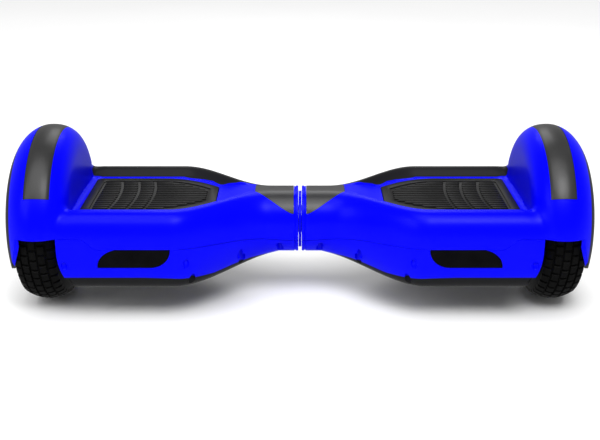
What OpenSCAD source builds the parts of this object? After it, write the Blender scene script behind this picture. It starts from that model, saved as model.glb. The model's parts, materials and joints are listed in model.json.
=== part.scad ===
// Two-wheeled self balancing board.
// X runs along the board, -Y is the front, +Z is up. The origin is on the floor under the pivot.
// Inside the modules heights are measured from the wheel axis, and every piece is drawn for the right half.

/* [Overall] */
// Length over both fenders
board_len = 584; // [540:1:720]
// Depth of the body over its front and rear faces
body_depth = 180; // [160:1:190]
// Radius of the tyre, which is also the height of the wheel axis
tyre_r = 84; // [76:1:102]
// Wall of the moulded covers
shell_t = 2.8; // [2:0.1:3.4]

/* [Body shape] */
// Radius of the neck between the two halves
neck_r = 33; // [31:0.5:38]
// How far the pivot lies below the wheel axis
pivot_drop = 2.4; // [0:0.1:5]
// Where the neck starts to widen, from the middle of the board
neck_end = 30; // [26:1:40]
// Where the body has its full depth, from the middle of the board
deck_start = 125; // [110:1:140]
// Height of the front and rear shoulders above the wheel axis
crest_z = 32; // [28:0.5:36]
// Distance of a shoulder's crest from the body's face
crest_inset = 19; // [15:0.5:24]
// Height of the deck between the shoulders above the wheel axis
deck_z = 23; // [21:0.5:27]
// Distance of the deck's edge from the shoulder's crest
deck_inset = 14; // [10:0.5:18]
// Depth of the belly below the wheel axis
belly_z = 50.5; // [44:0.5:56]
// Half width of the flat belly
belly_flat = 60; // [40:1:66]
// Gap between the two halves
half_gap = 3.5; // [3:0.1:6]
// Height of the parting line at the neck, from the wheel axis
parting_neck = -15; // [-17:0.5:-10]
// Height of the parting line under the deck, from the wheel axis
parting_deck = -2; // [-4:0.5:2]
// Height of the parting line beside the wheel, from the wheel axis
parting_wheel = 8.5; // [6:0.5:12]

/* [Fender] */
// Room between the tyre and the fender's crown
fender_gap = 8.7; // [6:0.1:12]
// Width of the wheel well, from its inner wall to the end of the board
well_w = 68; // [66:0.5:74]
// Distance of the fender's crown from the end of the board
crown_inset = 39; // [36:0.5:44]
// Height of the rounded outer shoulder of the fender
shoulder_h = 43.5; // [36:0.5:48]
// Height of the rounded inner shoulder of the fender
shoulder_in_h = 30; // [24:0.5:36]
// How far the flat outer wall bulges at its middle
outer_bulge = 4; // [1:0.5:6]
// How far the outer wall hangs below the wheel axis
skirt_drop = 38; // [20:1:50]
// Width of the bumper strip
strip_w = 24; // [16:1:28]
// Thickness of the bumper strip
strip_t = 1.6; // [1.2:0.1:2]
// Angle above the horizontal at which the bumper strip ends
strip_end = 29.5; // [15:0.5:45]

/* [Foot mat] */
// Where the mat starts, from the middle of the board
mat_start = 85; // [84:1:96]
// Half width of the mat
mat_half_w = 55; // [45:0.5:56]
// Thickness of the mat, ribs included
mat_t = 3.4; // [3:0.1:4]
// Travel of the mat when it is stepped on
mat_travel = 1.5; // [1:0.1:1.6]
// How far the mat stands above the deck
mat_proud = 1; // [0.5:0.1:1.5]

/* [Wheel] */
// Width of the tyre
tyre_w = 45; // [38:0.5:47]
// Thickness of the tyre
tyre_t = 22; // [14:0.5:26]
// Radius of the axle
axle_r = 8; // [7:0.1:9]
// Number of stator teeth
teeth = 27; // [18:3:36]
// Number of magnets
magnets = 30; // [20:2:40]

/* [Lamps] */
// Length of a headlight
headlight_len = 70; // [50:1:80]
// Height of a headlight
headlight_h = 19; // [16:0.5:22]
// Length of an indicator along the neck
indicator_len = 39; // [30:0.5:44]

/* [Pivot] */
// Outer radius of the pivot tube
tube_r = 14; // [12:0.5:15]
// Inner radius of the pivot tube
tube_in_r = 10; // [8:0.5:11]
// Twist of one half against the other, each way
twist = 12; // [8:1:14]

/* [Fits] */
// Running clearance, on the radius
run_fit = 0.05; // [0.02:0.01:0.08]
// Gap round a piece that is dropped into a cover
drop_fit = 0.3; // [0.2:0.05:0.5]

/* [Hidden] */

half_len = board_len / 2;
half_depth = body_depth / 2;
end_x = half_gap / 2;
well_x = half_len - well_w;
wheel_x = half_len - 34;
crown_x = half_len - crown_inset;
fender_r = tyre_r + fender_gap + shell_t;
rim_r = tyre_r - tyre_t;
crest_y = half_depth - crest_inset;
deck_y = crest_y - deck_inset;
lower_end = well_x + 9;
lower_round = [21.5, 46];
mat_z = deck_z + mat_proud - mat_t;
mat_end = well_x - 7;
recess_z = mat_z - mat_travel - drop_fit;
under_deck = recess_z - shell_t;
mat_post_r = 5;
mat_posts = [[mat_start + 25, 26], [mat_end - 22, 38]];
frame_z = [5, 9];
frame_end = well_x - 1;
saddle = [frame_end - 38, 30];
axle_in = saddle[0] - 4;
axle_out = wheel_x + tyre_w / 2 - 7;
housing_x = [26, 62];
housing_r = 21;
bush_r = tube_r + 2;
tube_x = [-58, 67];
ring_x = housing_x[1] + 0.5;
stop_x = 40;
stop_r = 2.5;
board_z = 11;
screw_x = [20, 59, 106, well_x + 1.2];
screw_inset = 9;
sleeve_r = 4.4;
sleeve_z = -13;
boss_z = -6;
lug_z = [frame_z[0], 8.2];
headlight_end = well_x - 29.5;
headlight_x = headlight_end - headlight_len;
headlight_z = parting_deck - 0.2;
indicator_x = end_x + 4.75;
battery_x = [80, well_x - 59.5];
battery_y = 50;
battery_z = [-34, frame_z[0] - drop_fit];
port_x = well_x - 70;
port_z = -14;
hinge_y = 11.2;
hinge_z = 2.3;
main_x = [84, well_x - 52];
main_z = -20;
lead_r = 2.5;
plug_x = 78;
strip_fn = 72;
dome_fn = 72;

function mix(a, b, t) = a + (b - a) * t;
function smooth(a, b, x) = let (t = min(1, max(0, (x - a) / (b - a)))) t * t * (3 - 2 * t);
function widening(x) = smooth(neck_end, deck_start, x);
function depth_at(x) = mix(neck_r, half_depth, widening(x));
function belly_at(x) = let (t = min(1, max(0, (x - 22) / (deck_start - 22))))
    mix(neck_r + pivot_drop - 0.7, belly_z, 1 - (1 - t) * (1 - t));
function top_at(x) = mix(neck_r - pivot_drop, crest_z, widening(x));
function deck_at(x) = mix(neck_r - pivot_drop, deck_z, smooth(50, mat_start - 1, x));
function waist_at(x) = mix(-pivot_drop, 0, widening(x));
function parting_at(x) = x < deck_start
    ? mix(parting_neck, parting_deck, smooth(0, deck_start, x))
    : mix(parting_deck, parting_wheel, smooth(well_x - 30, well_x - 14, x));

// One quarter of a rounded section, from the waist at [w, zw] to [yc, zt].
function quarter(w, zw, yc, zt, n, steps) = [for (i = [0:steps]) let (a = 90 * i / steps)
    [yc + (w - yc) * pow(cos(a), 2 / n), zw + (zt - zw) * pow(sin(a), 2 / n)]];
// Half a section, from the waist over the shoulder to the deck.
function upper_half(x, t, sink) = let (
    s = widening(x),
    yc = mix(6, crest_y, s),
    yd = mix(2, deck_y, s),
    zt = top_at(x) - t,
    zd = min(deck_at(x) - mix(t, sink, smooth(50, mat_start - 1, x)), zt - 0.01))
    concat(quarter(depth_at(x) - t, waist_at(x), yc, zt, mix(2, 2.3, s), 7),
        [for (j = [1:3]) [mix(yc, yd, j / 3), mix(zt, zd, (1 - cos(60 * j)) / 2)]]);
function lower_half(x, t) = let (s = widening(x))
    quarter(depth_at(x) - t, waist_at(x), mix(3, belly_flat, s), t - belly_at(x), mix(2, 2.3, s), 7);
function flip(points) = [for (p = points) [-p[0], p[1]]];
function reverse(list) = [for (i = [len(list) - 1:-1:0]) list[i]];
function inner_part(list) = [for (i = [1:len(list) - 1]) list[i]];
function section(x, t, sink) = concat(flip(upper_half(x, t, sink)), reverse(upper_half(x, t, sink)),
    inner_part(lower_half(x, t)), flip(reverse(inner_part(lower_half(x, t)))));
function stations(a, b) = concat([a],
    [for (x = [neck_end, for (i = [0:8]) neck_end + 9 + i * 11, deck_start + 30])
        if (x > a + 2 && x < b - 2) x], [b]);

// Skin over a row of closed rings with equal, even numbers of points. The ends are closed by a strip.
module skin(rings) {
    n = len(rings[0]);
    m = len(rings);
    points = [for (r = rings) for (p = r) p];
    sides = [for (i = [0:m - 2]) for (j = [0:n - 1]) let (k = (j + 1) % n)
        for (f = [[i * n + j, (i + 1) * n + j, i * n + k], [i * n + k, (i + 1) * n + j, (i + 1) * n + k]]) f];
    caps = [for (j = [0:n / 2 - 2]) for (f = [[j, j + 1, n - 2 - j], [j, n - 2 - j, n - 1 - j]]) f];
    last = [for (f = caps) [for (i = [2:-1:0]) (m - 1) * n + f[i]]];
    polyhedron(points, [for (f = concat(caps, sides, last)) [f[2], f[1], f[0]]], convexity = 6);
}

// Solid body between two places along the board; t insets it and sink lowers its deck further.
module body(a, b, t = 0, sink = 0)
    skin([for (x = stations(a, b)) [for (p = section(x, t, sink)) [x, p[0], p[1]]]]);

module lift() translate([0, 0, tyre_r]) children();
module left() mirror([1, 0, 0]) children();
module right() children();
module along_x(x0, x1, r, z = 0, fn = 64) translate([x0, 0, z]) rotate([0, 90, 0])
    cylinder(h = x1 - x0, r = r, $fn = fn);
module across_y(points, w) translate([0, w / 2, 0]) rotate([90, 0, 0]) linear_extrude(w) polygon(points);
module around_x(points, fn = 96, turn = 360) rotate([0, 90, 0]) rotate([0, 0, turn < 360 ? 180 - turn / 2 : 0])
    rotate_extrude(angle = turn, $fn = fn) polygon([for (p = points) [p[1], p[0]]]);

// ---- Covers

// Radial outline of the fender, from its inner wall over the crown to its outer wall, inset by t.
function fender_outline(t) = let (
    ri = fender_r - shoulder_in_h, ro = fender_r - shoulder_h,
    ai = crown_x - well_x, ao = half_len - outer_bulge - crown_x)
    concat([[well_x + t, 0]],
        [for (i = [0:6]) let (a = 15 * i)
            [crown_x - (ai - t) * pow(cos(a), 2 / 2.3), ri + (shoulder_in_h - t) * pow(sin(a), 2 / 2.3)]],
        [for (i = [1:7]) let (a = 90 * i / 7) [crown_x + (ao - t) * sin(a), ro + (shoulder_h - t) * cos(a)]],
        [[half_len - t - 1, ro / 2], [half_len - t, 0]]);
module fender(t) around_x(fender_outline(t), dome_fn);

// Everything above the parting line, and the skirt of the outer wall.
module above_parting() {
    xs = [for (x = [0:12.5:deck_start]) x, for (x = [well_x - 30:2:well_x - 14]) x, half_len + 1];
    w = 2 * fender_r + 2;
    across_y(concat([for (x = xs) [x, parting_at(x)]], [[half_len + 1, fender_r + 1], [0, fender_r + 1]]), w);
    edge = fender_r - 7;
    translate([wheel_x + 6, 0, 0]) rotate([90, 0, 90]) linear_extrude(40) polygon(concat(
        [[-edge, parting_wheel + 0.1]],
        [for (i = [1:5]) let (a = 18 * i)
            [-edge + (edge - 38) * (1 - cos(a)), parting_wheel - (parting_wheel + skirt_drop) * sin(a)]],
        [for (i = [5:-1:1]) let (a = 18 * i)
            [edge - (edge - 38) * (1 - cos(a)), parting_wheel - (parting_wheel + skirt_drop) * sin(a)]],
        [[edge, parting_wheel + 0.1]]));
}

// Outline of the foot mat, inset by t.
function mat_y(x) = mat_half_w * (0.45 + 0.55 * (1 - pow(1 - min(1, max(0, (x - mat_start) / 60)), 2)));
function mat_x(y) = mat_start + 60 * (1 - sqrt(1 - max(0, (y / mat_half_w - 0.45) / 0.55)));
function mat_side(t) = concat(
    [for (i = [0:8]) let (x = mat_start + t + 60 * pow(i / 8, 1.6)) [x, mat_y(x - t * 0.6) - t]],
    [for (i = [0:3]) let (a = 30 * i) [mat_end - t - 6 + 6 * sin(a), mat_half_w - t - 6 + 6 * cos(a)]]);
function mat_outline(t) = concat(mat_side(t), reverse([for (p = mat_side(t)) [p[0], -p[1]]]));

// Wedge of the indicator, seen as a patch on the neck between two angles.
function indicator_angle(x) = 64 - 50 * pow(max(0, x - 8) / indicator_len, 1.25);
function neck_point(x, a, t) = let (s = widening(x), w = depth_at(x) - t, y = w * sin(a), yc = mix(6, crest_y, s),
    n = mix(2, 2.3, s), u = max(0, (abs(y) - yc) / (w - yc)))
    [x, y, waist_at(x) + (top_at(x) - waist_at(x) - t) * pow(1 - pow(u, n), 1 / n)];
module indicator_patch(grow, t0, t1) {
    xs = [for (i = [0:8]) indicator_x - grow + (indicator_len + 2 * grow) * i / 8];
    skin([for (x = xs) let (h = indicator_angle(x) + grow * 2)
        concat([for (i = [0:12]) neck_point(x, mix(-h, h, i / 12), t0)],
            [for (i = [12:-1:0]) neck_point(x, mix(-h, h, i / 12), t1)])]);
}

// Strip over the crown of the fender.
function strip_outline(grow, t0, t1) = let (
    x0 = crown_x - 15 - grow, x1 = x0 + strip_w + 2 * grow,
    r = [for (i = [0:6]) let (x = mix(x0, x1, i / 6)) [x, crown_r(x)]])
    concat([for (p = r) [p[0], p[1] - t0]], reverse([for (p = r) [p[0], p[1] - t1]]));
function crown_r(x) = x < crown_x
    ? fender_r - shoulder_in_h * (1 - pow(1 - pow((crown_x - x) / (crown_x - well_x), 2.3), 1 / 2.3))
    : fender_r - shoulder_h * (1 - sqrt(1 - pow((x - crown_x) / (half_len - outer_bulge - crown_x), 2)));
module strip(grow, t0, t1) around_x(strip_outline(grow, t0, t1), strip_fn, 180 - 2 * strip_end + 2 * grow);

// The screws stand a fixed way in from the front and rear faces; their own +Y points to the face.
module at_screws() for (x = screw_x) for (s = [-1, 1])
    translate([x, s * (depth_at(x) - screw_inset), 0]) rotate([0, 0, s > 0 ? 0 : 180]) children();

// Upper and lower edge of the leaf-shaped headlight at a place along it, from its inner end.
function headlight_top(u) = headlight_z
    - headlight_h * (1 - sqrt(1 - pow(max(0, (u - headlight_len + 22) / 22), 2)));
function headlight_low(u) = headlight_z - headlight_h
    + headlight_h * (1 - sqrt(1 - pow(max(0, (20 - u) / 20), 2)));
headlight_us = [0.15, 1, 2.6, 5, 8.5, 13, 20, 34, headlight_len - 22, headlight_len - 14, headlight_len - 8,
    headlight_len - 4, headlight_len - 1.6, headlight_len - 0.15];
module headlight_hole(grow) translate([0, -40, 0]) rotate([90, 0, 0]) linear_extrude(80) polygon(concat(
    [for (u = headlight_us) [headlight_x + u * (1 + 2 * grow / headlight_len) - grow, headlight_top(u) + grow]],
    reverse([for (u = headlight_us)
        [headlight_x + u * (1 + 2 * grow / headlight_len) - grow, headlight_low(u) - grow]])));
// Distance of the lower half's face from the middle plane, at a height and inset.
function face_y(x, z, t) = let (s = widening(x), n = mix(2, 2.3, s), yc = mix(3, belly_flat, s),
    drop = min(0.999, max(0, (waist_at(x) - z) / (waist_at(x) + belly_at(x) - t))))
    yc + (depth_at(x) - t - yc) * pow(1 - pow(drop, n), 1 / n);

// Rounded slot through the deck, for a mat's post or for water to drain.
module slot(x, y, r, len) hull() for (s = [-0.5, 0.5])
    translate([x + s * len, y, 0]) cylinder(h = 30, r = r, $fn = 12);

module top_cover() color("royalblue") lift() difference() {
    intersection() {
        union() {
            body(end_x, well_x + 13);
            fender(0);
        }
        above_parting();
    }
    difference() {
        body(end_x + shell_t, well_x + 10, shell_t, deck_z - under_deck);
        fender(0);
    }
    fender(shell_t);
    translate([0, 0, recess_z]) linear_extrude(30) polygon(mat_outline(-0.6));
    for (p = mat_posts) for (s = [-1, 1]) {
        slot(p[0], s * p[1], mat_post_r + 0.4, 1);
        slot(p[0] + 24, s * (p[1] - 10), 1.6, 4);
    }
    indicator_patch(drop_fit, -1, shell_t + 1);
    strip(drop_fit, -1, strip_t);
    along_x(end_x - 1, end_x + shell_t + 1, housing_r + 0.6, -pivot_drop, 24);
}

// End of the lower cover, seen from the front: full height at the wheel axis, rounded to the belly.
function lower_outline(t) = concat([[end_x + t, parting_wheel + 40], [lower_end - t, parting_wheel + 40]],
    [for (i = [0:7]) let (a = 90 * i / 7) [lower_end - lower_round[0] + (lower_round[0] - t) * cos(a),
        -belly_z + lower_round[1] - (lower_round[1] - t) * sin(a)]], [[end_x + t, t - belly_z]]);

module bottom_cover(port) color("mediumblue") lift() difference() {
    intersection() {
        body(end_x, well_x + 12);
        across_y(lower_outline(0), body_depth + 2);
    }
    intersection() {
        body(end_x + shell_t, well_x + 10, shell_t);
        across_y(lower_outline(shell_t), body_depth + 2);
    }
    above_parting();
    at_screws() hull() for (y = [0, 1]) translate([0, y, -belly_z - 1])
        cylinder(h = belly_z + 1 + boss_z, r = sleeve_r + drop_fit, $fn = 8);
    headlight_hole(drop_fit);
    along_x(well_x + 4, lower_end + 1, axle_r + 0.8, 0, 16);
    translate([well_x + 4, -axle_r - 0.8, 0]) cube([10, 2 * axle_r + 1.6, 12]);
    along_x(end_x - 1, end_x + shell_t + 1, housing_r + 0.6, -pivot_drop, 24);
    translate([port_x, 60, port_z]) rotate([-90, 0, 0]) cylinder(h = 40, r = port + 0.3, $fn = 20);
}

module bumper_strip() color("dimgray") lift() strip(0, -0.1, strip_t - 0.1);

module foot_mat() color("black") lift() {
    base = mat_t - 1.2;
    translate([0, 0, mat_z]) linear_extrude(base) polygon(mat_outline(0));
    translate([0, 0, mat_z + base]) {
        linear_extrude(1.2) difference() {
            polygon(mat_outline(0));
            polygon(mat_outline(2.6));
        }
        for (i = [-7:7]) let (y = i * 6.6, x0 = mat_x(abs(y) + 5) + 5)
            translate([x0, y - 1.6, 0]) cube([mat_end - 8 - x0, 3.2, 1]);
    }
    for (p = mat_posts) for (s = [-1, 1]) translate([p[0], s * p[1], board_z + 3.4])
        cylinder(h = mat_z - board_z - 3.4, r = mat_post_r);
}

module headlight_lens() color("black") lift() skin([for (u = headlight_us) let (
    x = headlight_x + u, z0 = headlight_low(u), z1 = max(headlight_top(u), z0 + 0.6))
    concat([for (j = [0:5]) let (z = mix(z0, z1, j / 5)) [x, -face_y(x, z, 0.1), z]],
        [for (j = [5:-1:0]) let (z = mix(z0, z1, j / 5)) [x, -face_y(x, z, shell_t), z]])]);

module headlight_board() color("darkgreen") lift() {
    x1 = headlight_end - 6;
    x0 = x1 - headlight_len + 14;
    z = headlight_z - headlight_h / 2;
    y = -half_depth + 6.2;
    translate([x0, y, z - 7]) cube([x1 - x0, 1.6, 14]);
    for (i = [0:5]) translate([x0 + 5 + i * (x1 - x0 - 10) / 5 - 2.5, y - 2.2, z - 2.5]) cube([5, 2.2, 5]);
    for (x = [x0 + 3, x1 - 3]) translate([x, y + 1.6, z]) rotate([-90, 0, 0]) cylinder(h = 4.4, r = 2.4);
    translate([x0, y + 6, z - 3]) cube([x1 - x0, 1.6, 6]);
}

module indicator_lens() color("black") lift() indicator_patch(0, 0, shell_t - 0.6);

module indicator_board() color("darkgreen") lift() {
    x0 = indicator_x + 3;
    z = neck_r - pivot_drop - shell_t - 2.7;
    translate([x0, -6, z]) cube([22, 12, 1.2]);
    for (i = [0:2]) translate([x0 + 2 + i * 7, -2.5, z + 1.2]) cube([5, 5, 1.4]);
}

module cover_screws() color("silver") lift() at_screws() {
    translate([0, 0, sleeve_z + 0.8]) difference() {
        cylinder(h = 2, r = 3);
        translate([-0.5, -2, -0.1]) cube([1, 4, 1.1]);
        translate([-2, -0.5, -0.1]) cube([4, 1, 1.1]);
    }
    translate([0, 0, sleeve_z + 2]) cylinder(h = lug_z[1] - sleeve_z - 2, r = 1.45);
}

module screw_sleeves() color("dimgray") lift() at_screws() translate([0, 0, sleeve_z]) difference() {
    cylinder(h = lug_z[0] - sleeve_z, r = sleeve_r);
    translate([0, 0, -1]) cylinder(h = 3.9, r = 3.2);
    cylinder(h = 30, r = 1.6);
}

// ---- Frame, pivot and axle

module frame(bore) color("silver") lift() difference() {
    union() {
        translate([0, 0, frame_z[0]]) linear_extrude(frame_z[1] - frame_z[0]) polygon([
            [16, -20], [34, -20], [52, -27], [84, -44], [frame_end, -56], [frame_end, 56], [84, 44], [52, 27],
            [34, 20], [16, 20]]);
        along_x(housing_x[0], housing_x[1], housing_r, -pivot_drop);
        translate([saddle[0], -saddle[1], 0]) cube([frame_end - saddle[0], 2 * saddle[1], frame_z[0] + 1]);
        for (s = [-1, 1]) translate([84, s * 54 - 2, -6]) cube([frame_end - 84, 4, 12]);
        for (x = [100, mat_end - 30]) for (s = [-1, 1]) translate([x, s * 20, frame_z[0]])
            cylinder(h = board_z - frame_z[0], r = 3);
        at_screws() translate([-3.4, -30, lug_z[0]]) cube([6.8, 32.6, lug_z[1] - lug_z[0]]);
        translate([frame_end - 8, -half_depth + 12, lug_z[0]]) cube([6, body_depth - 24, lug_z[1] - lug_z[0]]);
        for (s = [-1, 1]) translate([frame_end - 8, s * (half_depth - 14) - 5, lug_z[0]])
            cube([screw_x[3] - frame_end + 11.4, 9, lug_z[1] - lug_z[0]]);
    }
    at_screws() cylinder(h = 20, r = 1.5);
    along_x(housing_x[0] - 1, housing_x[1] + 1, bore, -pivot_drop);
    along_x(housing_x[1], plug_x + 2, housing_r - 2.5, -pivot_drop);
    along_x(10, housing_x[0], tube_r + 1, -pivot_drop);
    along_x(axle_in - 1, frame_end + 1, axle_r + run_fit);
    for (x = [saddle[0] + 7, frame_end - 7]) for (s = [-1, 1]) translate([x, s * 20, -1]) cylinder(h = 20, r = 2.6);
    for (x = [120, well_x - 55]) translate([x, 0, 0]) cylinder(h = 20, r = 9);
    translate([stop_x, 0, 0]) cylinder(h = 20, r = stop_r);
}

module axle_clamp() color("dimgray") lift() difference() {
    union() {
        translate([saddle[0] + 1, -saddle[1] + 2, -6]) cube([frame_end - saddle[0] - 2, 2 * saddle[1] - 4, 5.7]);
        intersection() {
            along_x(saddle[0] + 1, frame_end - 1, axle_r + 5);
            translate([0, -30, -20]) cube([half_len, 60, 19.7]);
        }
    }
    along_x(saddle[0], frame_end, axle_r + run_fit);
    for (x = [saddle[0] + 7, frame_end - 7]) for (s = [-1, 1]) translate([x, s * 20, -10]) cylinder(h = 20, r = 2.6);
}

module clamp_bolts() color("silver") lift()
    for (x = [saddle[0] + 7, frame_end - 7]) for (s = [-1, 1]) translate([x, s * 20, 0]) {
        translate([0, 0, -6]) cylinder(h = 14, r = 2.5);
        translate([0, 0, -10.5]) difference() {
            cylinder(h = 4.4, r = 4.2);
            translate([0, 0, -1]) cylinder(h = 3.4, r = 2.3, $fn = 6);
        }
    }

module sensor_board() color("green") lift() {
    x1 = mat_end - 26;
    difference() {
        translate([92, -46, board_z]) cube([x1 - 92 + 12, 92, 1.6]);
        translate([92 - 1, -14, board_z - 1]) cube([x1 - 92 + 4, 28, 4]);
    }
    for (x = [mat_posts[0][0] + 14, mat_posts[1][0] - 20]) for (s = [-1, 1])
        translate([x - 5, s * 34 - 3, board_z + 1.6]) cube([10, 6, 2.8]);
}

module pivot_tube() color("gray") lift() difference() {
    along_x(tube_x[0], tube_x[1], tube_r, -pivot_drop);
    along_x(tube_x[0] - 1, tube_x[1] + 1, tube_in_r, -pivot_drop);
    translate([stop_x - stop_r - 0.3, 0, -pivot_drop]) rotate([90, 0, 90]) linear_extrude(2 * stop_r + 0.6)
        polygon(concat([[0, 0]], [for (i = [0:6]) let (a = (twist + 15) * (i - 3) / 3) 24 * [sin(a), cos(a)]]));
}

module pivot_bush() color("goldenrod") lift() difference() {
    along_x(housing_x[0], housing_x[1], bush_r - 0.02, -pivot_drop);
    along_x(housing_x[0] - 1, housing_x[1] + 1, tube_r + run_fit, -pivot_drop);
    translate([stop_x, 0, 0]) cylinder(h = 20, r = stop_r + 0.2);
}

module retaining_ring() color("dimgray") lift() difference() {
    along_x(ring_x, ring_x + 2, tube_r + 3.4, -pivot_drop);
    along_x(ring_x - 1, ring_x + 3, tube_r + 0.02, -pivot_drop);
}

module twist_stop() color("silver") lift() translate([stop_x, 0, -pivot_drop]) {
    translate([0, 0, tube_in_r + 1]) cylinder(h = housing_r - tube_in_r - 1, r = stop_r - 0.02);
    translate([0, 0, housing_r]) cylinder(h = 2.6, r = stop_r + 2);
}

module seal_ring() color("black") lift() difference() {
    along_x(-end_x + drop_fit, end_x - drop_fit, neck_r - 4, -pivot_drop);
    along_x(-end_x, end_x, tube_r + 1, -pivot_drop);
}

module axle() color("silver") lift() difference() {
    along_x(axle_in, axle_out, axle_r);
    along_x(axle_in - 1, frame_end + 8, 4.2);
}

// ---- Wheel

module tyre() color("black") lift() translate([wheel_x, 0, 0]) {
    w = tyre_w / 2;
    side = [[w - 2.5, rim_r], [w, rim_r + 2], [w, rim_r + 5], [w - 2.2, tyre_r - 10], [w - 5.5, tyre_r - 4.6],
        [w - 10, tyre_r - 1.6], [w - 10.5, tyre_r - 3.4], [w - 12.5, tyre_r - 3.2], [w - 13, tyre_r - 0.8]];
    around_x(concat(side, [[4, tyre_r]], reverse([for (p = concat(side, [[4, tyre_r]])) [-p[0], p[1]]])));
}

module wheel_rim() color("gray") lift() translate([wheel_x, 0, 0]) {
    w = tyre_w / 2 - 2.5;
    around_x([[-w, rim_r - 4], [w - 3, rim_r - 4], [w - 3, 26], [w - 8, 24], [w - 8, 16 + 2], [w - 3.5, 16 + 2],
        [w - 3.5, 0], [w - 0.5, 0], [w - 0.5, 30], [w, 34], [w, rim_r], [-w, rim_r]]);
}

module hub_cover() color("dimgray") lift() translate([wheel_x, 0, 0]) {
    w = tyre_w / 2 - 2.5;
    around_x([[-w, 11], [-w, 30], [-w - 1.5, 36], [-w - 1.5, rim_r - 7], [-w + 3, rim_r - 4], [-w + 3, 28],
        [-w + 9, 26], [-w + 9, 16], [-w + 4, 16], [-w + 4, 11]]);
}

module magnet_ring() color("lightgray") lift() translate([wheel_x, 0, 0]) rotate([0, 90, 0])
    for (i = [0:magnets - 1]) rotate([0, 0, i * 360 / magnets]) translate([0, 0, -13])
        rotate_extrude(angle = 300 / magnets, $fn = 96) translate([rim_r - 7, 0]) square([2.9, 26]);

module bearings() color("silver") lift() translate([wheel_x, 0, 0]) {
    w = tyre_w / 2 - 2.5;
    for (x = [-w + 4.2, w - 8.2]) difference() {
        along_x(x, x + 4.6, 15.9);
        along_x(x - 1, x + 6, axle_r + run_fit);
    }
}

module stator() color("peru") lift() translate([wheel_x - 11, 0, 0]) rotate([0, 90, 0]) {
    r = rim_r - 7.8;
    step = 360 / teeth;
    difference() {
        linear_extrude(22) polygon([for (i = [0:teeth - 1]) for (p =
            [[30, -0.42], [30, -0.2], [r - 3, -0.1], [r - 3, -0.4], [r, -0.4], [r, 0.4], [r - 3, 0.4], [r - 3, 0.1],
                [30, 0.2], [30, 0.42]]) let (a = (i + p[1]) * step) p[0] * [cos(a), sin(a)]]);
        translate([0, 0, -1]) cylinder(h = 30, r = 24);
    }
    difference() {
        translate([0, 0, 7]) cylinder(h = 8, r = 24.5);
        translate([0, 0, -1]) cylinder(h = 30, r = axle_r);
    }
}

// ---- Inside the halves

// Round lead through a row of points, with eight sides.
function unit(v) = v / norm(v);
module lead(points, r) {
    n = len(points);
    skin([for (i = [0:n - 1]) let (
        d = unit(points[min(i + 1, n - 1)] - points[max(i - 1, 0)]),
        u = unit(cross(d, abs(d[2]) > 0.9 ? [0, 1, 0] : [0, 0, 1])),
        v = cross(d, u)) [for (k = [0:7]) points[i] + r * (cos(45 * k) * u - sin(45 * k) * v)]]);
}

// Way of the left motor's lead, round the battery to the pivot.
left_way = [[axle_in, 0, 0], [axle_in - 3, 0, 0], [axle_in - 7, -6, -3], [axle_in - 8, -20, -8],
    [axle_in - 8, -40, -12], [battery_x[1] + 2, -53, -14], [battery_x[1] - 10, -54.5, -14], [120, -54.5, -14],
    [92, -54.5, -14], [81, -54, -13.5], [battery_x[0] - 4, -50.5, -13], [74, -34, -10], [73.5, -22, -6],
    [73.5, -12, -3], [73.5, -8.8, -2.4]];
right_way = [[axle_in, 0, 0], [axle_in - 2.5, 0, 0], [axle_in - 4.5, 0, -6], [main_x[1] + 3.5, 0, -13.5],
    [main_x[1] + 0.8, 0, -14.5]];

module motor_lead(way) color("black") lift() lead(way, lead_r);

module cross_harness() color("black") lift() {
    for (a = [0:60:300]) translate([0, 5.4 * sin(a), 5.4 * cos(a)]) along_x(-plug_x + 7, plug_x - 7, 2.4, -pivot_drop);
    along_x(-plug_x + 7, plug_x - 7, 3.1, -pivot_drop);
    for (x = [-plug_x, plug_x - 8]) along_x(x, x + 8, 8.5, -pivot_drop);
}

module battery_pack() color("steelblue") lift() {
    translate([battery_x[0], -battery_y, battery_z[0]])
        cube([battery_x[1] - battery_x[0], 2 * battery_y, battery_z[1] - battery_z[0]]);
    translate([battery_x[0] - 4, -12, -26]) cube([4.5, 24, 14]);
}

module battery_strap() color("black") lift() {
    x = (battery_x[0] + battery_x[1]) / 2 - 10;
    difference() {
        translate([x, -battery_y - 1.5, battery_z[0] - 1.5]) cube([20, 2 * battery_y + 3, frame_z[0] - battery_z[0] + 1.5]);
        translate([x - 1, -battery_y, battery_z[0]]) cube([22, 2 * battery_y, 60]);
    }
}

module main_board() color("darkgreen") lift() {
    difference() {
        translate([main_x[0], -42, main_z]) cube([main_x[1] - main_x[0], 84, 1.6]);
        for (x = [main_x[0] + 5, main_x[1] - 5]) for (s = [-1, 1]) translate([x, s * 37, main_z - 1])
            cylinder(h = 4, r = 1.6);
    }
    for (x = [main_x[0] + 5, main_x[1] - 5]) for (s = [-1, 1]) translate([x, s * 37, main_z + 1.6]) difference() {
        cylinder(h = frame_z[0] - main_z - 1.6, r = 3);
        translate([0, 0, -1]) cylinder(h = 8, r = 1.6);
    }
    for (s = [-1, 1]) translate([main_x[0] + 20, s * 22, main_z + 1.6]) cylinder(h = 15, r = 6.3);
    translate([main_x[1] - 8, -12, main_z + 1.6]) cube([8, 24, 7]);
    translate([main_x[0] - 2, -10, main_z + 1.6]) cube([8, 20, 12]);
    for (i = [0:2]) for (s = [-1, 1]) translate([main_x[0] + 36 + i * 14, s * 12 - 5, main_z + 1.6]) cube([9, 10, 4.4]);
}

module heat_sink() color("silver") lift() {
    translate([main_x[0] + 30, -36, main_z - 4]) cube([44, 72, 4]);
    for (i = [0:7]) translate([main_x[0] + 30 + i * 6, -36, main_z - 13]) cube([2, 72, 9.5]);
}

// ---- Button and charging port, on the rear faces

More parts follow.
